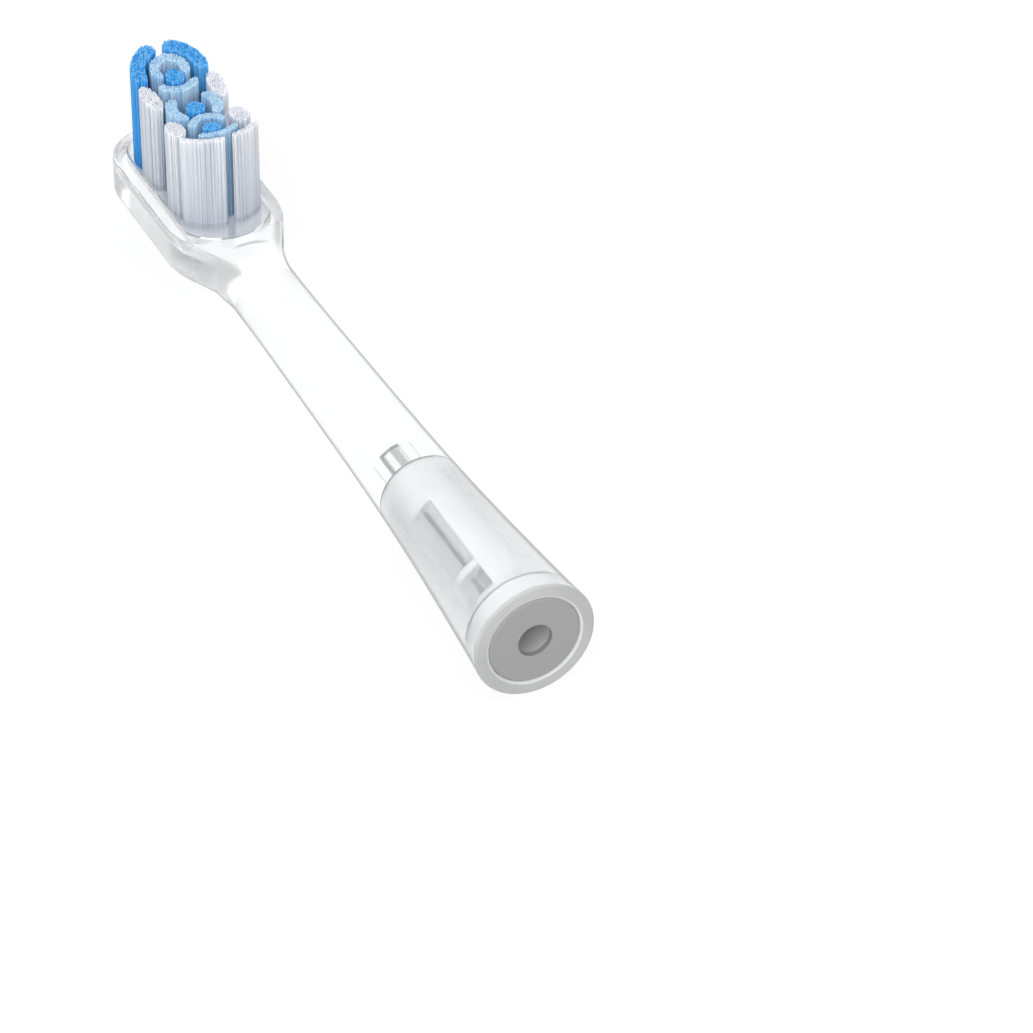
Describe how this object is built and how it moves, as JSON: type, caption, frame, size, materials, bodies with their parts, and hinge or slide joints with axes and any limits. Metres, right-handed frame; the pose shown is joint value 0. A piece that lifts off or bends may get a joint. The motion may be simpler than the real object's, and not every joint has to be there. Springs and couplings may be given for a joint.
{
  "type": "electric toothbrush head",
  "caption": "Clear head with a flared sleeve that pushes onto a drive shaft, and a bristle field of curved blue, light blue and white tufts.",
  "frame": {"origin": "centre of the mouth of the shaft bore, on the end face of the sleeve", "axes": "+Y along the neck from the mouth to the tip of the head, +Z the way the bristles point, X the width"},
  "size_m": [0.0124, 0.0903, 0.0204],
  "materials": {
    "clear_plastic": "clear polished moulding",
    "clear_plastic_carrier": "clear polished moulding",
    "frosted_plastic": "frosted natural white",
    "pin_steel": "drawn steel",
    "seal_grey": "matte grey",
    "bristle_blue": "dyed nylon filaments",
    "bristle_light_blue": "dyed nylon filaments",
    "bristle_white": "undyed nylon filaments"
  },
  "bodies": {
    "root": {"head_body": "clear_plastic", "tuft_carrier": "clear_plastic_carrier", "shaft_insert": "frosted_plastic", "nose_pin": "pin_steel", "shaft_seal": "seal_grey", "tuft_tip_left": "bristle_blue", "tuft_tip_right": "bristle_blue", "tuft_horseshoe": "bristle_light_blue", "tuft_core_far": "bristle_blue", "tuft_cup_far": "bristle_light_blue", "tuft_side_far_left": "bristle_white", "tuft_side_far_right": "bristle_white", "tuft_crescent_left": "bristle_light_blue", "tuft_crescent_right": "bristle_light_blue", "tuft_core_middle": "bristle_blue", "tuft_arch": "bristle_light_blue", "tuft_core_near": "bristle_blue", "tuft_cup_near": "bristle_light_blue", "tuft_side_near_left": "bristle_white", "tuft_side_near_right": "bristle_white", "tuft_front_left": "bristle_white", "tuft_front_right": "bristle_white"}
  },
  "joints": []
}
